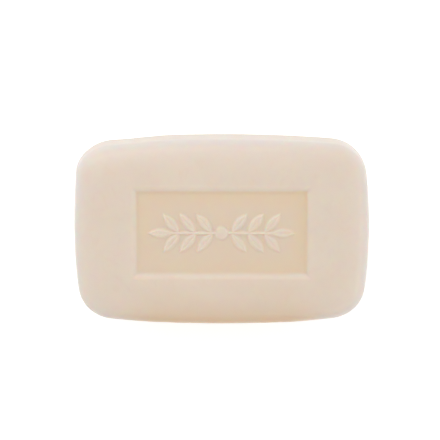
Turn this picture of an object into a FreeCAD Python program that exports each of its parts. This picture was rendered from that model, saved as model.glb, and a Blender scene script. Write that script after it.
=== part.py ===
"""A bar of toilet soap, pressed in one piece between two dies, lying on its plain back.

The origin is the middle of the flat back that it rests on. +X runs along the bar, +Y across it,
and +Z up through the stamped face. In plan the bar is a rectangle with bulging sides and round
corners, widest at the parting line where the two dies met. Above and below that line its sides
lean in by the dies' draft and roll over, first tightly and then widely, into two flat faces. The
upper face has a sunk rectangular panel, and a low spray of plain leaves stands on its floor.
"""

import FreeCAD, Part
import math
import os

import Sketcher

NODE = "soap_bar"

# Every driving dimension: alias, value in millimetres or degrees, and what it measures.
SIZES = (
    ("bar_length", 88.0, "length between the crests of the two short sides"),
    ("bar_width", 56.5, "width between the crests of the two long sides"),
    ("bar_thickness", 28.0, "height of the upper face above the back"),
    ("parting_height", 14.0, "height of the parting line above the back"),
    ("long_side_radius", 430.0, "bulge of the two long sides, seen in plan"),
    ("short_side_radius", 154.0, "bulge of the two short sides, seen in plan"),
    ("corner_radius", 11.5, "round corners of the plan outline"),
    ("side_draft", 7.0, "lean of the sides away from the parting line"),
    ("edge_radius", 5.0, "tight part of the roll from a side to a face"),
    ("shoulder_radius", 24.0, "wide part of the roll, which runs out level with the face"),
    ("flat_start", 0.3, "from the centre of a corner out to where a face is flat"),
    ("panel_length", 48.6, "length of the sunk panel at its floor"),
    ("panel_width", 23.2, "width of the sunk panel at its floor"),
    ("panel_depth", 0.8, "depth of the panel's floor below the upper face"),
    ("panel_draft", 58.0, "lean of the panel's walls"),
    ("panel_corner", 0.8, "round corners where the panel's walls meet"),
    ("lip_radius", 0.8, "round edge of the panel's mouth"),
    ("foot_radius", 1.2, "round foot of the panel's walls"),
    ("relief_height", 0.45, "height of the spray above the panel's floor"),
    ("relief_draft", 25.0, "lean of the spray's edges"),
    ("leaf_length", 7.4, "leaf from its foot to its tip"),
    ("leaf_width", 3.0, "leaf at its widest"),
    ("leaf_angle", 50.0, "angle between a side leaf and the stem"),
    ("leaf_pitch", 4.8, "distance along the stem from one pair of leaves to the next"),
    ("leaf_start", 2.6, "distance from the bar's centre to the first pair of leaves"),
    ("end_leaf_start", 14.0, "distance from the bar's centre to the foot of the end leaf"),
    ("stem_width", 1.1, "width of the stem"),
    ("bead_diameter", 4.2, "round bead in the middle of the spray"),
)

LEAF_PAIRS = 3
SPARE = 1.0  # how far the blank and the cutting shapes reach past the bar
TINY = 1e-4

# Formulas of the spreadsheet's cells that more than one feature needs.
TOP = "sizes.bar_thickness"
PARTING = "sizes.parting_height"
ABOVE = "sizes.bar_thickness - sizes.parting_height"
FLOOR = "sizes.bar_thickness - sizes.panel_depth"
INSET = "sizes.corner_radius - sizes.flat_start"
PANEL_REACH = "sizes.panel_length / 2 + sizes.panel_depth * tan(sizes.panel_draft)"

# How a sketch numbers its origin, its two axes and the spots on a piece of geometry.
ORIGIN = (-1, 1)
X_AXIS, Y_AXIS = -1, -2
START, END, CENTRE = 1, 2, 3


def make_sheet(doc):
    """The spreadsheet of driving dimensions, one row each: name, value and meaning."""
    sheet = doc.addObject("Spreadsheet::Sheet", "sizes")
    for row, (alias, value, meaning) in enumerate(SIZES, start=1):
        sheet.set(f"A{row}", alias)
        sheet.set(f"B{row}", str(value))
        sheet.set(f"C{row}", meaning)
        sheet.setAlias(f"B{row}", alias)
    doc.recompute()


def value_of(thing, formula):
    """What a formula of the spreadsheet's cells comes to now."""
    return float(thing.evalExpression(formula))


def origin_feature(body, role):
    """One of the body's own origin planes or axes, such as XY_Plane or X_Axis."""
    return next(o for o in body.Origin.OriginFeatures if o.Role == role)


def new_sketch(body, name, plane, height=None):
    """An empty sketch on one of the body's origin planes, raised by a formula."""
    sketch = body.newObject("Sketcher::SketchObject", name)
    sketch.AttachmentSupport = [(origin_feature(body, plane), "")]
    sketch.MapMode = "FlatFace"
    if height is not None:
        sketch.setExpression("AttachmentOffset.Base.z", height)
    return sketch


def point(x, y):
    return FreeCAD.Vector(x, y, 0)


def add_line(sketch, start, end):
    return sketch.addGeometry(Part.LineSegment(point(*start), point(*end)))


def add_arc(sketch, centre, start, end):
    """An arc that runs anticlockwise about its centre from one point to another."""
    first = math.atan2(start[1] - centre[1], start[0] - centre[0])
    last = math.atan2(end[1] - centre[1], end[0] - centre[0])
    if last < first:
        last += 2 * math.pi
    circle = Part.Circle(point(*centre), FreeCAD.Vector(0, 0, 1), math.dist(centre, start))
    return sketch.addGeometry(Part.ArcOfCircle(circle, first, last))


def constrain(sketch, kind, *where):
    return sketch.addConstraint(Sketcher.Constraint(kind, *where))


def bind(sketch, name, formula, kind, *where):
    """Adds a named dimension that follows a formula of the spreadsheet's cells."""
    size = value_of(sketch, formula)
    if kind == "Angle":
        size = math.radians(size)
    index = constrain(sketch, kind, *where, size)
    sketch.renameConstraint(index, name)
    sketch.setExpression(f"Constraints.{name}", formula)


def join(sketch, kind, pieces):
    """Joins the end of each piece to the start of the next, as Coincident or Tangent."""
    for one, following in zip(pieces, pieces[1:]):
        constrain(sketch, kind, one, END, following, START)


def add_rectangle(sketch, length, width):
    """A rectangle about the sketch's origin, with formulas for its length and width."""
    x, y = value_of(sketch, length) / 2, value_of(sketch, width) / 2
    spots = [(-x, -y), (x, -y), (x, y), (-x, y)]
    sides = [add_line(sketch, a, b) for a, b in zip(spots, spots[1:] + spots[:1])]
    join(sketch, "Coincident", sides + sides[:1])
    for side, lie in zip(sides, ("Horizontal", "Vertical") * 2):
        constrain(sketch, lie, side)
    constrain(sketch, "Symmetric", sides[0], START, sides[1], END, *ORIGIN)
    bind(sketch, "along", length, "DistanceX", sides[0], START, sides[0], END)
    bind(sketch, "across", width, "DistanceY", sides[1], START, sides[1], END)


def add_blank(body):
    """The plain block that the bar is shaped from, a little longer and wider than the bar."""
    sketch = new_sketch(body, "blank_outline", "XY_Plane")
    add_rectangle(sketch, f"sizes.bar_length + {2 * SPARE}", f"sizes.bar_width + {2 * SPARE}")
    blank = body.newObject("PartDesign::Pad", "blank")
    blank.Profile = sketch
    blank.setExpression("Length", TOP)


def corner_circle(sketch, far, near):
    """Centre of the first corner and the points where it meets its long and short sides.

    The long side is drawn about (0, -far) and the short side about (-near, 0).
    """
    long_radius = value_of(sketch, "sizes.long_side_radius")
    short_radius = value_of(sketch, "sizes.short_side_radius")
    radius = value_of(sketch, "sizes.corner_radius")
    apart = math.hypot(near, far)
    to_short, to_long = short_radius - radius, long_radius - radius
    along = (to_short**2 - to_long**2 + apart**2) / (2 * apart)
    across = math.sqrt(to_short**2 - along**2)
    x = -near + (along * near + across * far) / apart
    y = (across * near - along * far) / apart
    on_long = (x * long_radius / to_long, -far + (y + far) * long_radius / to_long)
    on_short = (-near + (x + near) * short_radius / to_short, y * short_radius / to_short)
    return (x, y), on_long, on_short


def draw_outline(body):
    """The plan outline at the parting line: four bulging sides and four round corners."""
    sketch = new_sketch(body, "outline", "XY_Plane", PARTING)
    far_formula = "sizes.long_side_radius - sizes.bar_width / 2"
    near_formula = "sizes.short_side_radius - sizes.bar_length / 2"
    far, near = value_of(sketch, far_formula), value_of(sketch, near_formula)
    corner, on_long, on_short = corner_circle(sketch, far, near)

    def arc(centre, start, end):
        """An arc from three spots of the first quarter, each with its signs for x and y."""
        return add_arc(sketch, *((x * sx, y * sy) for (x, y), sx, sy in (centre, start, end)))

    right = arc(((-near, 0), 1, 1), (on_short, 1, -1), (on_short, 1, 1))
    first = arc((corner, 1, 1), (on_short, 1, 1), (on_long, 1, 1))
    top = arc(((0, -far), 1, 1), (on_long, 1, 1), (on_long, -1, 1))
    second = arc((corner, -1, 1), (on_long, -1, 1), (on_short, -1, 1))
    left = arc(((-near, 0), -1, 1), (on_short, -1, 1), (on_short, -1, -1))
    third = arc((corner, -1, -1), (on_short, -1, -1), (on_long, -1, -1))
    bottom = arc(((0, -far), 1, -1), (on_long, -1, -1), (on_long, 1, -1))
    fourth = arc((corner, 1, -1), (on_long, 1, -1), (on_short, 1, -1))

    join(sketch, "Tangent", [right, first, top, second, left, third, bottom, fourth, right])
    for side, axis in ((right, X_AXIS), (left, X_AXIS), (top, Y_AXIS), (bottom, Y_AXIS)):
        constrain(sketch, "PointOnObject", side, CENTRE, axis)
    equal = ((right, left), (top, bottom), (first, second), (first, third), (first, fourth))
    for one, other in equal:
        constrain(sketch, "Equal", one, other)
    bind(sketch, "short_side", "sizes.short_side_radius", "Radius", right)
    bind(sketch, "long_side", "sizes.long_side_radius", "Radius", top)
    bind(sketch, "corner", "sizes.corner_radius", "Radius", first)
    bind(sketch, "right_centre", near_formula, "DistanceX", right, CENTRE, *ORIGIN)
    bind(sketch, "left_centre", near_formula, "DistanceX", *ORIGIN, left, CENTRE)
    bind(sketch, "top_centre", far_formula, "DistanceY", top, CENTRE, *ORIGIN)
    bind(sketch, "bottom_centre", far_formula, "DistanceY", *ORIGIN, bottom, CENTRE)
    return sketch


def roll_spots(sketch, height):
    """The spots that shape one roll, each as its inset and its height from the parting line.

    They are the centres of the shoulder and of the tight edge, and the two ends of that edge:
    on the side, and on the shoulder. height is the formula for the face's height.
    """
    rise, inset = value_of(sketch, height), value_of(sketch, INSET)
    wide = value_of(sketch, "sizes.shoulder_radius")
    tight = value_of(sketch, "sizes.edge_radius")
    draft = math.radians(value_of(sketch, "sizes.side_draft"))
    lean = inset * math.cos(draft) + (wide - rise) * math.sin(draft) - tight
    slope = math.asin(lean / (wide - tight)) - draft
    outward, upward = -math.sin(slope), math.cos(slope)
    shoulder = (inset, rise - wide)
    edge = (inset + (wide - tight) * outward, rise - wide + (wide - tight) * upward)
    on_side = (edge[0] - tight * math.cos(draft), edge[1] + tight * math.sin(draft))
    on_shoulder = (inset + wide * outward, rise - wide + wide * upward)
    return shoulder, edge, on_side, on_shoulder


def draw_edge_section(body):
    """A section through what is cut away around the bar, at the crest of a short side."""
    sketch = new_sketch(body, "edge_section", "XZ_Plane")
    crest, parting = value_of(sketch, "sizes.bar_length / 2"), value_of(sketch, PARTING)
    top, flat = value_of(sketch, TOP), crest - value_of(sketch, INSET)
    outside = crest + value_of(sketch, "sizes.corner_radius")
    upper = [(crest - inset, parting + height) for inset, height in roll_spots(sketch, ABOVE)]
    lower = [(crest - inset, parting - height) for inset, height in roll_spots(sketch, PARTING)]

    upper_side = add_line(sketch, (crest, parting), upper[2])
    upper_edge = add_arc(sketch, upper[1], upper[2], upper[3])
    upper_shoulder = add_arc(sketch, upper[0], upper[3], (flat, top))
    upper_rise = add_line(sketch, (flat, top), (flat, top + SPARE))
    above = add_line(sketch, (flat, top + SPARE), (outside, top + SPARE))
    beside = add_line(sketch, (outside, top + SPARE), (outside, -SPARE))
    below = add_line(sketch, (outside, -SPARE), (flat, -SPARE))
    lower_rise = add_line(sketch, (flat, -SPARE), (flat, 0))
    lower_shoulder = add_arc(sketch, lower[0], (flat, 0), lower[3])
    lower_edge = add_arc(sketch, lower[1], lower[3], lower[2])
    lower_side = add_line(sketch, lower[2], (crest, parting))

    join(sketch, "Coincident", [lower_side, upper_side])
    join(sketch, "Tangent", [upper_side, upper_edge, upper_shoulder])
    join(
        sketch,
        "Coincident",
        [upper_shoulder, upper_rise, above, beside, below, lower_rise, lower_shoulder],
    )
    join(sketch, "Tangent", [lower_shoulder, lower_edge, lower_side])
    for line in (upper_rise, beside, lower_rise):
        constrain(sketch, "Vertical", line)
    for line in (above, below):
        constrain(sketch, "Horizontal", line)
    constrain(sketch, "PointOnObject", upper_shoulder, CENTRE, upper_rise)
    constrain(sketch, "PointOnObject", lower_shoulder, CENTRE, lower_rise)
    constrain(sketch, "PointOnObject", lower_shoulder, START, X_AXIS)
    constrain(sketch, "Equal", upper_edge, lower_edge)
    constrain(sketch, "Equal", upper_shoulder, lower_shoulder)
    bind(sketch, "crest", "sizes.bar_length / 2", "DistanceX", *ORIGIN, upper_side, START)
    bind(sketch, "parting", PARTING, "DistanceY", *ORIGIN, upper_side, START)
    bind(sketch, "upper_face", TOP, "DistanceY", *ORIGIN, upper_shoulder, END)
    bind(sketch, "upper_inset", INSET, "DistanceX", upper_shoulder, END, upper_side, START)
    bind(sketch, "lower_inset", INSET, "DistanceX", lower_shoulder, START, upper_side, START)
    bind(sketch, "upper_lean", "90 + sizes.side_draft", "Angle", upper_side)
    bind(sketch, "lower_lean", "90 - sizes.side_draft", "Angle", lower_side)
    bind(sketch, "edge", "sizes.edge_radius", "Radius", upper_edge)
    bind(sketch, "shoulder", "sizes.shoulder_radius", "Radius", upper_shoulder)
    bind(sketch, "reach", "sizes.corner_radius", "DistanceX", upper_side, START, above, END)
    bind(sketch, "above", f"{TOP} + {SPARE}", "DistanceY", *ORIGIN, above, START)
    bind(sketch, "below", f"{SPARE}", "DistanceY", below, END, *ORIGIN)
    return sketch


def add_edge(body):
    """Cuts the blank to the bar's drafted sides and to their rolls into the two faces."""
    edge = body.newObject("PartDesign::SubtractivePipe", "edge")
    edge.Profile = draw_edge_section(body)
    edge.Spine = (draw_outline(body), [""])
    edge.Mode = "Binormal"
    edge.Binormal = FreeCAD.Vector(0, 0, 1)


def add_panel(body):
    """The sunk panel: a flat rectangular floor, and walls that lean out to the upper face."""
    sketch = new_sketch(body, "panel_floor", "XY_Plane", FLOOR)
    add_rectangle(sketch, "sizes.panel_length", "sizes.panel_width")
    panel = body.newObject("PartDesign::Pocket", "panel")
    panel.Profile = sketch
    panel.Reversed = True
    panel.setExpression("Length", "sizes.panel_depth")
    panel.setExpression("TaperAngle", "sizes.panel_draft")


def panel_edges(body, low, high):
    """The names of the panel's edges that run between two heights, given by their formulas."""
    bottom, top = value_of(body, low), value_of(body, high)
    reach = value_of(body, PANEL_REACH) + TINY
    names = []
    for number, edge in enumerate(body.Tip.Shape.Edges, start=1):
        box = edge.BoundBox
        between = abs(box.ZMin - bottom) < TINY and abs(box.ZMax - top) < TINY
        if between and max(abs(box.XMin), abs(box.XMax)) < reach:
            names.append(f"Edge{number}")
    return names


def add_round(body, name, low, high, size):
    """Rounds the panel's edges that run between two heights."""
    body.Document.recompute()
    base, edges = body.Tip, panel_edges(body, low, high)
    if not edges:
        raise RuntimeError(f"{name} found no edge to round")
    rounded = body.newObject("PartDesign::Fillet", name)
    rounded.Base = (base, edges)
    rounded.setExpression("Radius", size)


def draw_leaf(body, name, start, angle):
    """A pointed leaf: two equal arcs from its foot, on the X axis, to its tip."""
    sketch = new_sketch(body, name, "XY_Plane", FLOOR)
    bulge = "(sizes.leaf_length^2 + sizes.leaf_width^2) / (4 * sizes.leaf_width)"
    turn = math.radians(value_of(sketch, angle))
    length = value_of(sketch, "sizes.leaf_length")
    shift = value_of(sketch, f"{bulge} - sizes.leaf_width / 2")
    foot = value_of(sketch, start)

    def spot(ahead, aside):
        x = foot + ahead * math.cos(turn) - aside * math.sin(turn)
        return x, ahead * math.sin(turn) + aside * math.cos(turn)

    right = add_arc(sketch, spot(length / 2, shift), spot(0, 0), spot(length, 0))
    left = add_arc(sketch, spot(length / 2, -shift), spot(length, 0), spot(0, 0))
    spine = add_line(sketch, spot(0, 0), spot(length, 0))
    sketch.toggleConstruction(spine)
    join(sketch, "Coincident", [right, left, right])
    constrain(sketch, "Coincident", spine, START, right, START)
    constrain(sketch, "Coincident", spine, END, right, END)
    constrain(sketch, "Equal", right, left)
    constrain(sketch, "PointOnObject", spine, START, X_AXIS)
    bind(sketch, "foot", start, "DistanceX", *ORIGIN, spine, START)
    bind(sketch, "reach", "sizes.leaf_length", "Distance", spine)
    bind(sketch, "lean", angle, "Angle", spine)
    bind(sketch, "bulge", bulge, "Radius", right)
    return sketch


def add_relief(body, name, sketch):
    """A low pad with leaning edges, which stands up from the panel's floor."""
    relief = body.newObject("PartDesign::Pad", name)
    relief.Profile = sketch
    relief.setExpression("Length", "sizes.relief_height")
    relief.setExpression("TaperAngle", "-sizes.relief_draft")
    return relief


def add_stem(body):
    """The stem, which runs from one end leaf to the other."""
    sketch = new_sketch(body, "stem_outline", "XY_Plane", FLOOR)
    length = "2 * sizes.end_leaf_start + sizes.leaf_width"
    add_rectangle(sketch, length, "sizes.stem_width")
    add_relief(body, "stem", sketch)


def new_mirror(body, name, plane):
    """A mirroring about one of the body's origin planes."""
    mirror = body.newObject("PartDesign::Mirrored", name)
    mirror.MirrorPlane = (origin_feature(body, plane), [""])
    return mirror


def add_side_leaves(body):
    """The pairs of side leaves, along the stem and on both sides of the bar's centre."""
    outline = draw_leaf(body, "leaf_outline", "sizes.leaf_start", "sizes.leaf_angle")
    leaf = add_relief(body, "leaf", outline)
    row = body.newObject("PartDesign::LinearPattern", "leaf_row")
    row.Direction = (origin_feature(body, "X_Axis"), [""])
    row.Occurrences = LEAF_PAIRS
    row.setExpression("Length", f"sizes.leaf_pitch * {LEAF_PAIRS - 1}")
    across = new_mirror(body, "leaf_across", "XZ_Plane")
    along = new_mirror(body, "leaf_along", "YZ_Plane")
    leaves = body.newObject("PartDesign::MultiTransform", "leaves")
    leaves.Originals = [leaf]
    leaves.Transformations = [row, across, along]
    body.Tip = leaves


def add_end_leaves(body):
    """The two leaves that end the spray, in line with its stem."""
    outline = draw_leaf(body, "end_leaf_outline", "sizes.end_leaf_start", "0")
    leaf = add_relief(body, "end_leaf", outline)
    both = new_mirror(body, "end_leaves", "YZ_Plane")
    both.Originals = [leaf]
    body.Tip = both


def add_bead(body):
    """The round bead in the middle of the spray."""
    sketch = new_sketch(body, "bead_outline", "XY_Plane", FLOOR)
    radius = value_of(sketch, "sizes.bead_diameter / 2")
    ring = sketch.addGeometry(Part.Circle(point(0, 0), FreeCAD.Vector(0, 0, 1), radius))
    constrain(sketch, "Coincident", ring, CENTRE, *ORIGIN)
    bind(sketch, "bead", "sizes.bead_diameter", "Diameter", ring)
    add_relief(body, "bead", sketch)


def make_soap_bar(doc):
    """The whole bar, feature by feature: its body, then the panel, then the spray in it."""
    body = doc.addObject("PartDesign::Body", NODE)
    add_blank(body)
    add_edge(body)
    add_panel(body)
    add_round(body, "panel_corners", FLOOR, TOP, "sizes.panel_corner")
    add_round(body, "panel_lip", TOP, TOP, "sizes.lip_radius")
    add_round(body, "panel_foot", FLOOR, FLOOR, "sizes.foot_radius")
    add_stem(body)
    add_side_leaves(body)
    add_end_leaves(body)
    add_bead(body)
    doc.recompute()
    return body


def check(doc, parts):
    """Stops before anything is written if a feature failed or a part is not one sound solid."""
    for thing in doc.Objects:
        if {"Invalid", "Error"} & set(thing.State):
            raise RuntimeError(f"{thing.Name} failed: {thing.State}")
    for part in parts:
        shape = part.Shape
        if shape.isNull() or not shape.isValid() or len(shape.Solids) != 1:
            raise RuntimeError(f"{part.Label} is not one sound solid")


def main():
    doc = FreeCAD.newDocument("soap")
    make_sheet(doc)
    parts = [make_soap_bar(doc)]
    check(doc, parts)
    os.makedirs("parts", exist_ok=True)
    for part in parts:
        part.Shape.exportStep(f"parts/{part.Label}.step")
        box = part.Shape.optimalBoundingBox()
        print(part.Label, f"{box.XLength:.2f} x {box.YLength:.2f} x {box.ZLength:.2f} mm")
        print(f"volume {part.Shape.Volume / 1000:.1f} cm3, {len(part.Shape.Faces)} faces")


main()
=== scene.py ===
"""Looks of a bar of toilet soap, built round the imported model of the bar.

The bar is one closed mesh of rings. A fine grid over the floor of the sunk panel carries the
raised spray of leaves. Rings run from the grid's edge up the panel's wall, out across the upper
face, over the rolled edge, down past the parting line and in across the back, where they close.
Shapes are worked out in millimetres, with the origin in the middle of the back.
"""

import math
import random

import bpy
import numpy as np
from mathutils import Matrix, Vector


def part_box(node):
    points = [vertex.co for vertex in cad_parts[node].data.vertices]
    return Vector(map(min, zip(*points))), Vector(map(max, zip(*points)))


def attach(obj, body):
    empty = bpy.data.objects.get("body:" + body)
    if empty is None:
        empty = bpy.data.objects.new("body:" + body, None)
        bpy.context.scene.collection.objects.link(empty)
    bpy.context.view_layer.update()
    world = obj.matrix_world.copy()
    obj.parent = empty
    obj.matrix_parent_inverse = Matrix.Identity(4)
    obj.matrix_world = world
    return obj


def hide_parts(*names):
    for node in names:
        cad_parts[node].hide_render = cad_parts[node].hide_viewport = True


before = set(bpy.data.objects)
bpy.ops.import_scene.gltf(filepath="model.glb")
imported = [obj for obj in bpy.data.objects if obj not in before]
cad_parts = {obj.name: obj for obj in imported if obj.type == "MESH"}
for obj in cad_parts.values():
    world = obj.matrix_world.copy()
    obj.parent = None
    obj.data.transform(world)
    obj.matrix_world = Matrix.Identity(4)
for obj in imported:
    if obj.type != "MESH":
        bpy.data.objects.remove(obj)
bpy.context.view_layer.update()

NODE = "soap_bar"
MM = 0.001

# Plan outline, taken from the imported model's box, and the section of the rolled edge.
LOW, HIGH = (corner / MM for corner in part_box(NODE))
HALF_LENGTH = (HIGH.x - LOW.x) / 2
HALF_WIDTH = (HIGH.y - LOW.y) / 2
THICKNESS = HIGH.z - LOW.z
PARTING_HEIGHT = THICKNESS / 2
LONG_SIDE_RADIUS = 430.0
SHORT_SIDE_RADIUS = 154.0
CORNER_RADIUS = 11.5
FLAT_INSET = 11.2
DRAFT = math.radians(7.0)
EDGE_RADIUS = 5.0
SHOULDER_RADIUS = 24.0

# Sunk panel: its floor, the lean of its walls, and the rounding at the walls' foot and lip.
PANEL_LENGTH = 48.6
PANEL_WIDTH = 23.2
PANEL_DEPTH = 0.8
PANEL_LEAN = math.radians(58.0)
PANEL_CORNER = 0.4
FOOT_RADIUS = 2.0
LIP_RADIUS = 3.0
FLOOR_HEIGHT = THICKNESS - PANEL_DEPTH
PANEL_MOUTH = PANEL_DEPTH * math.tan(PANEL_LEAN)

# Raised spray of leaves on the panel's floor. Its edges rise over the width of RELIEF_EDGE, and
# start to rise at RELIEF_SPREAD outside its outline.
RELIEF_HEIGHT = 0.45
RELIEF_EDGE = 0.8
RELIEF_SPREAD = 0.2
LEAF_HALF_LENGTH = 3.7
LEAF_HALF_WIDTH = 1.5
LEAF_ANGLE = math.radians(50.0)
LEAF_STARTS = (2.6, 7.4, 12.2)
END_LEAF_START = 14.0
STEM_HALF_LENGTH = END_LEAF_START + LEAF_HALF_WIDTH
STEM_HALF_WIDTH = 0.55
STEM_HEIGHT_SHARE = 0.86
BEAD_RADIUS = 2.1
BEAD_FALL = 0.16

# Fine relief of one leaf: its crown's fall to the sides, its midrib and its side veins.
CROWN_FALL = 0.09
LEAF_RIM = 0.45
MIDRIB_DEPTH = 0.13
MIDRIB_HALF_WIDTH = 0.13
MIDRIB_END = 2.9
MIDRIB_FADE = 0.8
VEIN_DEPTH = 0.045
VEIN_SPACING = 1.15
VEIN_SLANT = 0.75
VEIN_SHARPNESS = 6
VEIN_START = 0.3

# Spacing of the grid over the panel's floor.
SPRAY_HALF_LENGTH = 21.7
SPRAY_HALF_WIDTH = 6.8
FLOOR_MARGIN = 1.0
CORNER_ZONE = 1.0
FINE_CELL = 0.15
COARSE_CELL = 0.3
CORNER_CELL = 0.1

# Rings of the rest of the mesh: how many turn each rounding, and at what shares of the way across
# the wall, the upper face, the drafted side and the back they lie. The back's rings draw in to a
# line along its middle.
FOOT_RINGS = 6
LIP_RINGS = 7
SHOULDER_RINGS = 7
EDGE_RINGS = 14
WALL_SHARES = (0.34, 0.67)
FIRST_FACE_SHARE = 0.08
FACE_SHARES = (0.2, 0.4, 0.6, 0.8)
SIDE_SHARES = (0.8, 0.6, 0.42, 0.27, 0.16, 0.09, 0.05, 0.02)
BACK_SHARES = (0.14, 0.28, 0.42, 0.56, 0.7, 0.84, 0.96)
BACK_LINE_HALF_LENGTH = 17.0

# Softness of a pressed bar: how far its surface wanders in from the true shape, in how many waves
# of what lengths, and how far the sides are set in beside the parting line.
WANDER = 0.07
WAVES = 9
SHORTEST_WAVE = 13.0
LONGEST_WAVE = 34.0
WAVE_SEED = 11
SEAM_SET_IN = 0.12
SEAM_HEIGHT = 0.28
SEAM_FADE = 2.6

# Where the corners stand out a little, or in where the reach is negative: the angle about the
# bar's middle in degrees, the reach in millimetres and the spread in degrees. The far left corner
# is the most uneven: it stands out at its left end and in at its far one.
UNEVEN_CORNERS = (
    (156.0, 0.42, 6.0),
    (138.0, -0.55, 12.0),
    (216.0, -0.32, 9.0),
    (323.0, -0.42, 9.0),
)

# Camera: the photograph's size in pixels, the bar's scale in pixels per millimetre and its middle
# in pixels, and the distance and tilt of the view.
PHOTO_SIZE = 440
PHOTO_SCALE = 3.351
PHOTO_CENTRE_X = 221.6
PHOTO_CENTRE_Y = 228.7
CAMERA_DISTANCE = 420.0
CAMERA_TILT = math.radians(5.3)
SENSOR_WIDTH = 36.0

# Studio, in metres and watts: the floor, the light from all round, and each lamp's place, size and
# power. The key lamp stands beyond the bar's far side, and a weaker one near each end.
FLOOR_HALF_SIZE = 3.0
FLOOR_GREY = (0.86, 0.86, 0.86, 1.0)
FLOOR_GLOW = 0.43
WHITE = (1.0, 1.0, 1.0, 1.0)
WORLD_LIGHT = 0.70
WORLD_SEEN = 1.0
LAMP_TARGET = Vector((0.0, 0.0, 0.014))
LAMPS = {
    "key": (Vector((-0.29, 0.575, 0.675)), 0.525, 3.05),
    "left_fill": (Vector((-0.75, -0.5, 0.4)), 0.7, 0.45),
    "right_fill": (Vector((0.87, -0.3, 0.4)), 0.7, 2.0),
}


def unit(angle):
    """Unit vectors in the plan plane at some angles."""
    return np.stack((np.cos(angle), np.sin(angle)), axis=-1)


def smooth_step(values):
    """Runs from 0 to 1 with level ends as values run from 0 to 1."""
    t = np.clip(values, 0.0, 1.0)
    return t * t * (3.0 - 2.0 * t)


class Loop:
    """Places round a closed outline. Each has a base, a radius and a direction away from it."""

    def __init__(self, base, radius, direction):
        self.base = base
        self.radius = radius
        self.direction = direction

    def at(self, outset):
        """The places moved out from the outline, or in from it where outset is negative."""
        return self.base + (self.radius + outset)[:, None] * self.direction

    def thinned(self):
        """The same outline with every second place left out."""
        return Loop(self.base[::2], self.radius[::2], self.direction[::2])


class Stretch:
    """A part of an outline: an arc, or a straight run where its radius is zero."""

    def __init__(self, start, end, radius, start_angle, end_angle, length):
        self.start = np.array(start)
        self.end = np.array(end)
        self.radius = radius
        self.angles = (start_angle, end_angle)
        self.length = length

    def places(self, share):
        """Base, radius and direction at some shares of the stretch's length."""
        base = self.start + share[:, None] * (self.end - self.start)
        angle = self.angles[0] + share * (self.angles[1] - self.angles[0])
        return base, np.full(len(share), self.radius), unit(angle)


def arc(centre, radius, start_angle, end_angle):
    """A stretch round one centre."""
    length = radius * abs(end_angle - start_angle)
    return Stretch(centre, centre, radius, start_angle, end_angle, length)


def straight(start, end, angle):
    """A stretch from start to end that faces one way."""
    return Stretch(start, end, 0.0, angle, angle, math.dist(start, end))


def side_places(stretches, shares):
    """Spreads places along one side of an outline, from corner to corner, by length."""
    ends = np.cumsum([stretch.length for stretch in stretches])
    along = shares * ends[-1]
    base = np.zeros((len(along), 2))
    radius = np.zeros(len(along))
    direction = np.zeros((len(along), 2))
    chosen = np.minimum(np.searchsorted(ends, along, side="right"), len(stretches) - 1)
    for number, stretch in enumerate(stretches):
        picked = chosen == number
        before = ends[number] - stretch.length
        share = (along[picked] - before) / stretch.length
        base[picked], radius[picked], direction[picked] = stretch.places(share)
    return base, radius, direction


def whole_loop(bottom, right, along_x, along_y):
    """A loop from its bottom and right sides, with the other two turned by half a turn."""
    parts = []
    for stretches, shares in ((bottom, along_x), (right, along_y)):
        parts.append(side_places(stretches, shares[:-1]))
    base = np.concatenate([part[0] for part in parts])
    radius = np.concatenate([part[1] for part in parts])
    direction = np.concatenate([part[2] for part in parts])
    return Loop(
        np.concatenate((base, -base)),
        np.concatenate((radius, radius)),
        np.concatenate((direction, -direction)),
    )


def outline_centres():
    """Centres of the lower right corner, the lower long side and the right short side.

    The corner's circle touches both bulging sides from inside.
    """
    long_side = np.array((0.0, LONG_SIDE_RADIUS - HALF_WIDTH))
    short_side = np.array((HALF_LENGTH - SHORT_SIDE_RADIUS, 0.0))
    long_reach = LONG_SIDE_RADIUS - CORNER_RADIUS
    short_reach = SHORT_SIDE_RADIUS - CORNER_RADIUS
    apart = np.linalg.norm(short_side - long_side)
    along = (short_side - long_side) / apart
    ahead = (apart**2 + long_reach**2 - short_reach**2) / (2 * apart)
    aside = math.sqrt(long_reach**2 - ahead**2)
    across = np.array((-along[1], along[0]))
    return long_side + ahead * along + aside * across, long_side, short_side


def outline_loop(along_x, along_y):
    """Places round the bar's plan outline at the parting line."""
    corner, long_side, short_side = outline_centres()
    long_end = math.atan2(*(corner - long_side)[::-1])
    short_end = math.atan2(*(corner - short_side)[::-1])
    middle = (long_end + short_end) / 2
    mirrored = np.array((-corner[0], corner[1]))
    upper = np.array((corner[0], -corner[1]))
    bottom = (
        arc(mirrored, CORNER_RADIUS, -math.pi - middle, -math.pi - long_end),
        arc(long_side, LONG_SIDE_RADIUS, -math.pi - long_end, long_end),
        arc(corner, CORNER_RADIUS, long_end, middle),
    )
    right = (
        arc(corner, CORNER_RADIUS, middle, short_end),
        arc(short_side, SHORT_SIDE_RADIUS, short_end, -short_end),
        arc(upper, CORNER_RADIUS, -short_end, -middle),
    )
    return whole_loop(bottom, right, along_x, along_y)


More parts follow.
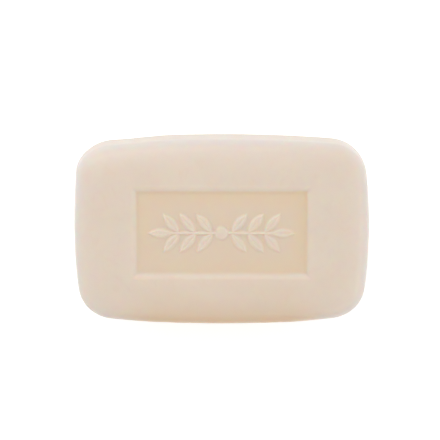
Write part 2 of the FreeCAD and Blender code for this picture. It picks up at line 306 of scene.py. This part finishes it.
def panel_ring(outset, corner, along_x, along_y):
    """Places round the panel, moved out from its floor's edge, with corners of some radius.

    Each corner counts as long as PANEL_CORNER makes it, so that all rings share their spacing.
    """
    x = PANEL_LENGTH / 2 + outset - corner
    y = PANEL_WIDTH / 2 + outset - corner
    rightwards, down, eighth = 0.0, -math.pi / 2, math.pi / 4

    def turn(point, start_angle, end_angle):
        return Stretch(point, point, corner, start_angle, end_angle, PANEL_CORNER * eighth)

    bottom = (
        turn((-x, -y), down - eighth, down),
        straight((-x, -y), (x, -y), down),
        turn((x, -y), down, down + eighth),
    )
    right = (
        turn((x, -y), rightwards - eighth, rightwards),
        straight((x, -y), (x, y), rightwards),
        turn((x, y), rightwards, rightwards + eighth),
    )
    ring = whole_loop(bottom, right, along_x, along_y)
    return ring.base + corner * ring.direction


def spread(start, end, cell):
    """Evenly spaced values from start up to, but not including, end."""
    count = max(2, round((end - start) / cell))
    return np.linspace(start, end, count, endpoint=False)


def grid_lines(half, fine_half):
    """Grid lines along one axis: fine over the spray and near the corners, coarse between."""
    right = np.concatenate(
        (
            spread(0.0, fine_half, FINE_CELL),
            spread(fine_half, half - CORNER_ZONE, COARSE_CELL),
            spread(half - CORNER_ZONE, half, CORNER_CELL),
            (half,),
        )
    )
    return np.concatenate((-right[:0:-1], right))


def leaf_distance(x, y, foot_x, angle):
    """Distance to a leaf's outline, less than zero inside, and places along it and aside of it.

    The outline is two equal arcs that meet at both tips.
    """
    middle_x = foot_x + LEAF_HALF_LENGTH * math.cos(angle)
    middle_y = LEAF_HALF_LENGTH * math.sin(angle)
    along = (x - middle_x) * math.cos(angle) + (y - middle_y) * math.sin(angle)
    across = (y - middle_y) * math.cos(angle) - (x - middle_x) * math.sin(angle)
    offset = (LEAF_HALF_LENGTH**2 - LEAF_HALF_WIDTH**2) / (2 * LEAF_HALF_WIDTH)
    radius = offset + LEAF_HALF_WIDTH
    past_tip = np.abs(along) - LEAF_HALF_LENGTH
    aside = np.abs(across)
    to_tip = np.hypot(past_tip, aside)
    to_arc = np.hypot(along, aside + offset) - radius
    beyond_tip = past_tip * offset > aside * LEAF_HALF_LENGTH
    return np.where(beyond_tip, to_tip, to_arc), along, aside


def raised(distance, height):
    """Height of a raised shape with a soft foot and edge, from the distance to its outline."""
    return height * smooth_step((RELIEF_SPREAD - distance) / RELIEF_EDGE)


def leaf_height(x, y, foot_x, angle):
    """A leaf, lightly crowned, with a fine midrib and faint side veins pressed into it."""
    distance, along, aside = leaf_distance(x, y, foot_x, angle)
    crown = RELIEF_HEIGHT - CROWN_FALL * smooth_step(aside / LEAF_HALF_WIDTH)
    height = raised(distance, crown)
    within = smooth_step(-distance / LEAF_RIM)
    midrib = np.exp(-((aside / MIDRIB_HALF_WIDTH) ** 2))
    midrib *= smooth_step((MIDRIB_END - along) / MIDRIB_FADE)
    veins = 0.5 + 0.5 * np.cos((along - VEIN_SLANT * aside) * 2 * math.pi / VEIN_SPACING)
    veins = veins**VEIN_SHARPNESS * smooth_step(aside / VEIN_START)
    return height - within * (MIDRIB_DEPTH * midrib + VEIN_DEPTH * veins * (1.0 - midrib))


def spray_height(x, y):
    """Height of the spray above the panel's floor. It is the same on both sides of each axis."""
    x, y = np.abs(x), np.abs(y)
    stem_gap = np.maximum(x - STEM_HALF_LENGTH, 0.0)
    stem_height = RELIEF_HEIGHT * STEM_HEIGHT_SHARE
    stem = raised(np.hypot(stem_gap, y) - STEM_HALF_WIDTH, stem_height)
    bead_reach = np.hypot(x, y)
    dome = 1.0 - BEAD_FALL * (bead_reach / BEAD_RADIUS) ** 2
    height = np.maximum(stem, raised(bead_reach - BEAD_RADIUS, RELIEF_HEIGHT * dome))
    for start in LEAF_STARTS:
        height = np.maximum(height, leaf_height(x, y, start, LEAF_ANGLE))
    return np.maximum(height, leaf_height(x, y, END_LEAF_START, 0.0))


def wander(x, y, z):
    """How far the pressed surface sits in from the true shape, in slow uneven waves."""
    draw = random.Random(WAVE_SEED)
    total = np.zeros_like(x)
    for _ in range(WAVES):
        wave_length = draw.uniform(SHORTEST_WAVE, LONGEST_WAVE)
        towards = Vector([draw.gauss(0, 1) for _ in range(3)]).normalized()
        phase = draw.uniform(0, 2 * math.pi)
        reach = x * towards.x + y * towards.y + z * towards.z
        total += np.sin(reach * 2 * math.pi / wave_length + phase)
    return WANDER * (0.5 + np.clip(total / WAVES, -0.5, 0.5))


def panel_section():
    """Rings up the panel's wall, as (outset from the floor's edge, height above the floor)."""
    rise = math.pi / 2 - PANEL_LEAN
    foot = FOOT_RADIUS * math.tan(rise / 2)
    lip = LIP_RADIUS * math.tan(rise / 2)
    rings = []
    for slope in np.linspace(0.0, rise, FOOT_RINGS):
        rings.append((FOOT_RADIUS * math.sin(slope) - foot, FOOT_RADIUS * (1 - math.cos(slope))))
    wall_start = rings[-1]
    lip_start = (PANEL_MOUTH - lip * math.cos(rise), PANEL_DEPTH - lip * math.sin(rise))
    for share in WALL_SHARES:
        rings.append(tuple(a + share * (b - a) for a, b in zip(wall_start, lip_start)))
    for slope in np.linspace(rise, 0.0, LIP_RINGS):
        out = PANEL_MOUTH + lip - LIP_RADIUS * math.sin(slope)
        rings.append((out, PANEL_DEPTH - LIP_RADIUS * (1 - math.cos(slope))))
    return rings


def edge_section():
    """Rings from the flat face to the parting line, as (inset, height above the parting).

    The wide shoulder starts level with the face, the tight edge follows it, and the edge runs on
    into the drafted side.
    """
    height = THICKNESS - PARTING_HEIGHT
    reach = SHOULDER_RADIUS - EDGE_RADIUS
    drop = SHOULDER_RADIUS - height
    lean = (FLAT_INSET * math.cos(DRAFT) + drop * math.sin(DRAFT) - EDGE_RADIUS) / reach
    join = math.asin(lean) - DRAFT
    rings = []
    for slope in np.linspace(0.0, join, SHOULDER_RINGS, endpoint=False):
        inset = FLAT_INSET - SHOULDER_RADIUS * math.sin(slope)
        rings.append((inset, SHOULDER_RADIUS * math.cos(slope) - drop))
    centre = (FLAT_INSET - reach * math.sin(join), reach * math.cos(join) - drop)
    for slope in np.linspace(join, math.pi / 2 - DRAFT, EDGE_RINGS):
        inset = centre[0] - EDGE_RADIUS * math.sin(slope)
        rings.append((inset, centre[1] + EDGE_RADIUS * math.cos(slope)))
    top = rings[-1][1]
    for share in SIDE_SHARES:
        rings.append((share * top * math.tan(DRAFT), share * top))
    return rings


def corner_shift(places):
    """How far each place of the outline stands out from the even shape."""
    angle = np.degrees(np.arctan2(places[:, 1], places[:, 0])) % 360.0
    shift = np.zeros(len(places))
    for middle, reach, spread_angle in UNEVEN_CORNERS:
        shift += reach * np.exp(-(((angle - middle) / spread_angle) ** 2))
    return shift


def seam_set_in(height):
    """How far the wall sits in near the parting line, so that the line itself stands proud."""
    near = smooth_step(np.abs(height) / SEAM_HEIGHT)
    far = smooth_step(np.abs(height) / SEAM_FADE)
    return SEAM_SET_IN * near * (1.0 - far)


class Rings:
    """Vertices and faces of the closed mesh, added ring by ring from the panel outwards."""

    def __init__(self):
        self.points = []
        self.faces = []
        self.last = None

    def add_points(self, xy, z):
        """Adds vertices and returns their numbers."""
        first = len(self.points)
        heights = np.broadcast_to(z, len(xy))
        self.points.extend(np.column_stack((xy, heights)).tolist())
        return list(range(first, first + len(xy)))

    def add_grid(self, x_lines, y_lines, height):
        """Adds the grid over the panel's floor, raised by a function of x and y.

        Its edge becomes the last ring.
        """
        columns, rows = len(x_lines), len(y_lines)
        x, y = np.meshgrid(x_lines, y_lines)
        xy = np.column_stack((x.ravel(), y.ravel()))
        self.add_points(xy, FLOOR_HEIGHT + height(x, y).ravel())
        for row in range(rows - 1):
            for column in range(columns - 1):
                one = row * columns + column
                self.faces.append((one, one + 1, one + columns + 1, one + columns))
        bottom = list(range(columns - 1))
        right = [row * columns + columns - 1 for row in range(rows - 1)]
        top = [rows * columns - 1 - column for column in range(columns - 1)]
        left = [row * columns for row in range(rows - 1, 0, -1)]
        self.last = bottom + right + top + left

    def add(self, xy, z):
        """Adds a ring with as many places as the last, or half as many."""
        ring = self.add_points(xy, z)
        old, count = self.last, len(ring)
        for k in range(count):
            after = (k + 1) % count
            if len(old) == count:
                self.faces.append((old[k], ring[k], ring[after], old[after]))
            else:
                near, middle, far = old[2 * k], old[2 * k + 1], old[2 * after]
                self.faces.append((near, ring[k], middle))
                self.faces.append((ring[k], ring[after], middle))
                self.faces.append((middle, ring[after], far))
        self.last = ring

    def close(self, steps_x, steps_y):
        """Closes the last ring across its long axis, pairing each place with its mirror.

        The ring starts at its lower left corner, and has so many steps along each of its sides.
        """
        ring, count = self.last, len(self.last)
        start = count - steps_y // 2
        for step in range(steps_x + steps_y - steps_y % 2):
            k = (start + step) % count
            after = (k + 1) % count
            opposite = (2 * steps_x + steps_y - k) % count
            next_opposite = (2 * steps_x + steps_y - after) % count
            corners = (ring[k], ring[opposite], ring[next_opposite], ring[after])
            self.faces.append(tuple(dict.fromkeys(corners)))


def add_panel_wall(rings, along_x, along_y):
    """Adds the rings from the grid's edge up the panel's wall. Returns the last one's places."""
    wall = panel_section()
    halfway = (wall[0][0] - FLOOR_MARGIN) / 2
    rings.add(panel_ring(halfway, PANEL_CORNER / 2, along_x, along_y), FLOOR_HEIGHT)
    for outset, height in wall:
        places = panel_ring(outset, PANEL_CORNER, along_x, along_y)
        rings.add(places, FLOOR_HEIGHT + height)
    return places


def add_upper_face(rings, inner, outer):
    """Adds the level rings between two outlines. All but the first have half as many places."""
    rings.add(inner + FIRST_FACE_SHARE * (outer - inner), THICKNESS)
    inner, outer = inner[::2], outer[::2]
    for share in FACE_SHARES:
        rings.add(inner + share * (outer - inner), THICKNESS)


def add_edge(rings, outline):
    """Adds the rolled edges and the sides, from the upper face's edge down to the back's."""
    upper = edge_section()
    lower = [(inset, -height) for inset, height in reversed(upper)]
    shift = corner_shift(outline.at(0.0))
    for inset, height in upper + [(0.0, 0.0)] + lower:
        share = 1.0 - smooth_step(inset / FLAT_INSET)
        set_in = inset + float(seam_set_in(height))
        rings.add(outline.at(share * shift - set_in), PARTING_HEIGHT + height)


def add_back(rings, outer):
    """Adds the rings across the back, which draw in to a line along its middle."""
    line_x = np.clip(outer[:, 0], -BACK_LINE_HALF_LENGTH, BACK_LINE_HALF_LENGTH)
    line = np.column_stack((line_x, np.zeros(len(outer))))
    for share in BACK_SHARES:
        rings.add(outer + share * (line - outer), 0.0)


def build_bar_mesh():
    """The whole bar as one closed mesh, in metres."""
    half_x = PANEL_LENGTH / 2 - FLOOR_MARGIN
    half_y = PANEL_WIDTH / 2 - FLOOR_MARGIN
    x_lines = grid_lines(half_x, SPRAY_HALF_LENGTH)
    y_lines = grid_lines(half_y, SPRAY_HALF_WIDTH)
    along_x = (x_lines + half_x) / (2 * half_x)
    along_y = (y_lines + half_y) / (2 * half_y)

    rings = Rings()
    rings.add_grid(x_lines, y_lines, spray_height)
    mouth = add_panel_wall(rings, along_x, along_y)
    outline = outline_loop(along_x, along_y)
    add_upper_face(rings, mouth, outline.at(-FLAT_INSET))
    outline = outline.thinned()
    add_edge(rings, outline)
    add_back(rings, outline.at(-FLAT_INSET))
    rings.close((len(x_lines) - 1) // 2, (len(y_lines) - 1) // 2)

    mesh = bpy.data.meshes.new("soap_bar_body")
    mesh.from_pydata(rings.points, [], rings.faces)
    mesh.polygons.foreach_set("use_smooth", [True] * len(mesh.polygons))
    mesh.update()
    settle(mesh)
    return mesh


def settle(mesh):
    """Moves each vertex a little in along its normal, then turns millimetres into metres."""
    count = len(mesh.vertices)
    co = np.zeros(count * 3)
    normal = np.zeros(count * 3)
    mesh.vertices.foreach_get("co", co)
    mesh.vertex_normals.foreach_get("vector", normal)
    co, normal = co.reshape(-1, 3), normal.reshape(-1, 3)
    depth = wander(co[:, 0], co[:, 1], co[:, 2])
    co -= depth[:, None] * normal
    mesh.vertices.foreach_set("co", (co * MM).ravel())
    mesh.update()


class Nodes:
    """Short calls for making and joining shader nodes."""

    def __init__(self, tree):
        self.tree = tree

    def new(self, kind, **settings):
        """A new node with some of its settings."""
        node = self.tree.nodes.new(kind)
        for name, value in settings.items():
            setattr(node, name, value)
        return node

    def link(self, source, target):
        """Joins an output to an input."""
        self.tree.links.new(source, target)

    def noise(self, place, scale, detail=2.0, roughness=0.5, distortion=0.0):
        """A noise texture, whose scale is given as the size of its patches in millimetres."""
        node = self.new("ShaderNodeTexNoise")
        self.link(place, node.inputs["Vector"])
        node.inputs["Scale"].default_value = 1.0 / (scale * MM)
        node.inputs["Detail"].default_value = detail
        node.inputs["Roughness"].default_value = roughness
        node.inputs["Distortion"].default_value = distortion
        return node.outputs["Fac"]

    def ramp(self, value, low, high, to_low=0.0, to_high=1.0):
        """Maps a value from one range to another, held at both ends."""
        node = self.new("ShaderNodeMapRange")
        self.link(value, node.inputs["Value"])
        node.inputs["From Min"].default_value = low
        node.inputs["From Max"].default_value = high
        node.inputs["To Min"].default_value = to_low
        node.inputs["To Max"].default_value = to_high
        return node.outputs["Result"]

    def mix(self, share, first, second):
        """Mixes two colours, each of them a colour or a socket."""
        node = self.new("ShaderNodeMix", data_type="RGBA")
        self.link(share, node.inputs["Factor"])
        for name, colour in (("A", first), ("B", second)):
            socket = [s for s in node.inputs if s.name == name and s.type == "RGBA"][0]
            if isinstance(colour, tuple):
                socket.default_value = (*colour, 1.0)
            else:
                self.link(colour, socket)
        return [s for s in node.outputs if s.type == "RGBA"][0]

    def maths(self, operation, first, second=0.0):
        """One arithmetic step on one or two sockets or numbers."""
        node = self.new("ShaderNodeMath", operation=operation)
        for socket, value in zip(node.inputs, (first, second)):
            if isinstance(value, (int, float)):
                socket.default_value = value
            else:
                self.link(value, socket)
        return node.outputs[0]

    def product(self, first, *others):
        """The product of several sockets or numbers."""
        for other in others:
            first = self.maths("MULTIPLY", first, other)
        return first


def new_material(name):
    """An empty node material, its nodes and its output."""
    material = bpy.data.materials.new(name)
    material.use_nodes = True
    material.node_tree.nodes.clear()
    nodes = Nodes(material.node_tree)
    return material, nodes, nodes.new("ShaderNodeOutputMaterial")


# Creams of the soap: plain, pale and deep patches, the painted highlight of its rolled edges,
# and the painted shade of its near side and panel.
CREAM = (0.725, 0.620, 0.515)
CREAM_PALE = (0.740, 0.640, 0.540)
CREAM_DEEP = (0.707, 0.590, 0.475)
ROLL_PAINTED_HIGHLIGHT = (0.713, 0.657, 0.607)
NEAR_SIDE_PAINTED_SHADE = (0.680, 0.490, 0.300)
PANEL_PAINTED_SHADE = (0.730, 0.598, 0.463)
PANEL_WALL_PAINTED_SHADE = (0.745, 0.584, 0.403)

# Texture of the soap: the sizes of its patches in millimetres, the stretches of a noise's range
# that its masks run over, the roughness where it is glossiest and dullest, the pores' share of the
# bump, the bump's strength and depth, and how far light soaks in.
MOTTLE_PATCH = 14.0
SWIRL_PATCH = 6.0
GLOSS_PATCH = 5.0
SLOW_PATCH = 2.4
PORE_PATCH = 0.35
NOISE_RANGE = (0.3, 0.7)
SWIRL_RANGE = (0.52, 0.74)
SWIRL_SHARE = 0.35
GLOSSIEST = 0.40
DULLEST = 0.50
PORE_SHARE = 0.18
BUMP_STRENGTH = 0.35
BUMP_DEPTH = 0.08
SOAK_REACH = 4.0

# The panel's painted shade is full on its floor and gone on the tops of the leaves. It is deeper
# near the walls, most of all towards the far right corner, and lies a little towards the far wall.
TINT_BOTTOM = FLOOR_HEIGHT + 0.1
TINT_TOP = FLOOR_HEIGHT + RELIEF_HEIGHT
TINT_SHIFT = 0.35
TINT_LEAN = 0.4
PANEL_SHADE = 5.0
NEAR_LEFT_SHADE = 0.25
FAR_RIGHT_SHADE = 1.1

# The roll of the upper edges is painted paler, a painted highlight that is strongest towards the
# far left corner, where the key lamp stands; the middle of the near side is painted deeper, a
# painted shade.
ROLL_TOP = THICKNESS - 0.1
ROLL_FULL = THICKNESS - 2.5
ROLL_FADE = THICKNESS - 3.5
ROLL_END = THICKNESS - 7.0
ROLL_LEAN = -0.25
ROLL_PALE_START = 10.0
ROLL_PALE_FULL = 32.0
ROLL_SHARE = 0.63
NEAR_SIDE_START = -11.0
NEAR_SIDE_FULL = -25.0
NEAR_SIDE_MIDDLE = 20.0
NEAR_SIDE_END = 35.0
NEAR_SIDE_SHARE = 0.3


def soap_material():
    """Waxy cream soap: mottled in colour, satin in gloss, with faint swirls and fine pores."""
    material, nodes, output = new_material("soap")
    place = nodes.new("ShaderNodeTexCoord").outputs["Object"]
    shader = nodes.new("ShaderNodeBsdfPrincipled")

    mottle = nodes.noise(place, MOTTLE_PATCH, detail=3.0, distortion=0.6)
    colour = nodes.mix(nodes.ramp(mottle, *NOISE_RANGE), CREAM, CREAM_PALE)
    swirl = nodes.noise(place, SWIRL_PATCH, detail=4.0, distortion=2.5)
    swirl = nodes.ramp(swirl, *SWIRL_RANGE, to_high=SWIRL_SHARE)
    colour = nodes.mix(swirl, colour, CREAM_DEEP)
    spot = nodes.new("ShaderNodeSeparateXYZ")
    nodes.link(place, spot.inputs[0])
    roll_highlight, near_side_shade = side_painted_light_masks(nodes, spot)
    # Painted highlight: the roll of the upper edges is painted paler.
    colour = nodes.mix(roll_highlight, colour, ROLL_PAINTED_HIGHLIGHT)
    # Painted shade: the middle of the near side is painted deeper.
    colour = nodes.mix(near_side_shade, colour, NEAR_SIDE_PAINTED_SHADE)
    inside, edges = panel_painted_shade_masks(nodes, spot)
    # Painted shade: the panel's floor is painted deeper, and more so near its walls.
    colour = nodes.mix(inside, colour, PANEL_PAINTED_SHADE)
    colour = nodes.mix(edges, colour, PANEL_WALL_PAINTED_SHADE)
    nodes.link(colour, shader.inputs["Base Color"])

    gloss = nodes.noise(place, GLOSS_PATCH, detail=4.0, distortion=0.8)
    gloss = nodes.ramp(gloss, *NOISE_RANGE, GLOSSIEST, DULLEST)
    nodes.link(gloss, shader.inputs["Roughness"])
    shader.inputs["IOR"].default_value = 1.46
    shader.inputs["Specular IOR Level"].default_value = 0.5
    shader.inputs["Subsurface Weight"].default_value = 1.0
    shader.inputs["Subsurface Radius"].default_value = (1.0, 0.42, 0.2)
    shader.inputs["Subsurface Scale"].default_value = SOAK_REACH * MM
    shader.inputs["Coat Weight"].default_value = 0.4
    shader.inputs["Coat Roughness"].default_value = 0.5
    shader.inputs["Sheen Weight"].default_value = 0.25
    shader.inputs["Sheen Roughness"].default_value = 0.5

    slow = nodes.noise(place, SLOW_PATCH, detail=3.0)
    pores = nodes.noise(place, PORE_PATCH, detail=3.0, roughness=0.6)
    rough = nodes.maths("ADD", slow, nodes.product(pores, PORE_SHARE))
    bump = nodes.new("ShaderNodeBump")
    bump.inputs["Strength"].default_value = BUMP_STRENGTH
    bump.inputs["Distance"].default_value = BUMP_DEPTH * MM
    nodes.link(rough, bump.inputs["Height"])
    nodes.link(bump.outputs["Normal"], shader.inputs["Normal"])
    nodes.link(shader.outputs["BSDF"], output.inputs["Surface"])
    return material


def side_painted_light_masks(nodes, spot):
    """How far a place has the roll's painted highlight, and the near side middle's painted shade.
    """
    down = nodes.ramp(spot.outputs["Z"], ROLL_TOP * MM, ROLL_FULL * MM)
    above = nodes.ramp(spot.outputs["Z"], ROLL_END * MM, ROLL_FADE * MM)
    towards = nodes.maths("ADD", spot.outputs["Y"], nodes.product(spot.outputs["X"], ROLL_LEAN))
    paler = nodes.ramp(towards, ROLL_PALE_START * MM, ROLL_PALE_FULL * MM, ROLL_SHARE, 1.0)
    roll_highlight = nodes.product(down, above, paler)
    near = nodes.ramp(spot.outputs["Y"], NEAR_SIDE_START * MM, NEAR_SIDE_FULL * MM)
    reach_x = nodes.maths("ABSOLUTE", spot.outputs["X"])
    middle = nodes.ramp(reach_x, NEAR_SIDE_END * MM, NEAR_SIDE_MIDDLE * MM)
    deeper = nodes.ramp(down, 0.0, 1.0, NEAR_SIDE_SHARE, 1.0)
    return roll_highlight, nodes.product(near, middle, deeper)


def panel_painted_shade_masks(nodes, spot):
    """How far a place has the sunk panel's painted shade, and the deeper one by its walls."""
    half_width = PANEL_WIDTH / 2 * MM
    reach_x = nodes.maths("ABSOLUTE", spot.outputs["X"])
    shifted_y = nodes.maths("SUBTRACT", spot.outputs["Y"], TINT_SHIFT * MM)
    reach_y = nodes.maths("ABSOLUTE", shifted_y)
    past_x = nodes.maths("SUBTRACT", reach_x, PANEL_LENGTH / 2 * MM)
    past_y = nodes.maths("SUBTRACT", reach_y, half_width)
    past = nodes.maths("MAXIMUM", past_x, past_y)
    within = nodes.ramp(past, PANEL_MOUTH * MM, 0.0)
    upper = nodes.maths("GREATER_THAN", spot.outputs["Z"], PARTING_HEIGHT * MM)
    down = nodes.ramp(spot.outputs["Z"], TINT_TOP * MM, TINT_BOTTOM * MM)
    inside = nodes.product(within, upper, down)
    by_walls = nodes.ramp(past, -PANEL_SHADE * MM, 0.0)
    towards = nodes.maths("ADD", shifted_y, nodes.product(spot.outputs["X"], TINT_LEAN))
    reach = half_width + TINT_LEAN * PANEL_LENGTH / 2 * MM
    shade = nodes.ramp(towards, -reach, reach, NEAR_LEFT_SHADE, FAR_RIGHT_SHADE)
    return inside, nodes.product(by_walls, inside, shade)


def floor_material():
    """White floor that reads as white to the camera and still takes the bar's shadow."""
    material, nodes, output = new_material("floor")
    diffuse = nodes.new("ShaderNodeBsdfDiffuse")
    diffuse.inputs["Color"].default_value = FLOOR_GREY
    glow = nodes.new("ShaderNodeEmission")
    glow.inputs["Color"].default_value = WHITE
    nodes.link(nodes.product(seen_directly(nodes), FLOOR_GLOW), glow.inputs["Strength"])
    both = nodes.new("ShaderNodeAddShader")
    nodes.link(diffuse.outputs[0], both.inputs[0])
    nodes.link(glow.outputs[0], both.inputs[1])
    nodes.link(both.outputs[0], output.inputs["Surface"])
    return material


def seen_directly(nodes):
    """One for camera rays and for rays through or off gloss, and zero for the rest."""
    rays = nodes.new("ShaderNodeLightPath").outputs
    direct = nodes.maths("MAXIMUM", rays["Is Camera Ray"], rays["Is Glossy Ray"])
    return nodes.maths("MAXIMUM", direct, rays["Is Transmission Ray"])


def make_bar():
    """The bar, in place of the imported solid."""
    bar = bpy.data.objects.new("soap_bar_body", build_bar_mesh())
    bpy.context.scene.collection.objects.link(bar)
    bar.data.materials.append(soap_material())
    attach(bar, "root")
    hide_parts(NODE)


def make_floor():
    """A wide plain floor under the bar."""
    half = FLOOR_HALF_SIZE
    corners = [(-half, -half, 0), (half, -half, 0), (half, half, 0), (-half, half, 0)]
    mesh = bpy.data.meshes.new("floor")
    mesh.from_pydata(corners, [], [(0, 1, 2, 3)])
    floor = bpy.data.objects.new("floor", mesh)
    bpy.context.scene.collection.objects.link(floor)
    mesh.materials.append(floor_material())


def make_world():
    """Even white light from all round."""
    world = bpy.data.worlds.new("studio")
    bpy.context.scene.world = world
    world.use_nodes = True
    world.node_tree.nodes.clear()
    nodes = Nodes(world.node_tree)
    output = nodes.new("ShaderNodeOutputWorld")
    background = nodes.new("ShaderNodeBackground")
    background.inputs["Color"].default_value = WHITE
    strength = nodes.ramp(seen_directly(nodes), 0.0, 1.0, WORLD_LIGHT, WORLD_SEEN)
    nodes.link(strength, background.inputs["Strength"])
    nodes.link(background.outputs[0], output.inputs["Surface"])


def make_lamps():
    """Square soft lamps that face the bar."""
    for name, (place, size, power) in LAMPS.items():
        lamp = bpy.data.lights.new(name, "AREA")
        lamp.size = size
        lamp.energy = power
        holder = bpy.data.objects.new(name, lamp)
        holder.location = place
        aim = LAMP_TARGET - place
        holder.rotation_euler = aim.to_track_quat("-Z", "Y").to_euler()
        bpy.context.scene.collection.objects.link(holder)


def make_camera():
    """The photograph's view: nearly straight down, from a little towards the bar's far side."""
    data = bpy.data.cameras.new("camera")
    data.sensor_width = SENSOR_WIDTH
    data.lens = SENSOR_WIDTH * PHOTO_SCALE * CAMERA_DISTANCE / PHOTO_SIZE
    camera = bpy.data.objects.new("camera", data)
    back = Vector((0.0, math.sin(CAMERA_TILT), math.cos(CAMERA_TILT)))
    up = Vector((0.0, math.cos(CAMERA_TILT), -math.sin(CAMERA_TILT)))
    off_right = (PHOTO_CENTRE_X - PHOTO_SIZE / 2) / PHOTO_SCALE
    off_down = (PHOTO_CENTRE_Y - PHOTO_SIZE / 2) / PHOTO_SCALE
    target = Vector((-off_right, 0.0, PARTING_HEIGHT)) + off_down * up
    turn = Matrix((Vector((1.0, 0.0, 0.0)), up, back)).transposed()
    camera.matrix_world = Matrix.LocRotScale((target + back * CAMERA_DISTANCE) * MM, turn, None)
    data.clip_start = 0.01
    data.clip_end = 20.0
    bpy.context.scene.collection.objects.link(camera)
    bpy.context.scene.camera = camera


bpy.context.scene.view_settings.view_transform = "Standard"
make_bar()
make_floor()
make_world()
make_lamps()
make_camera()
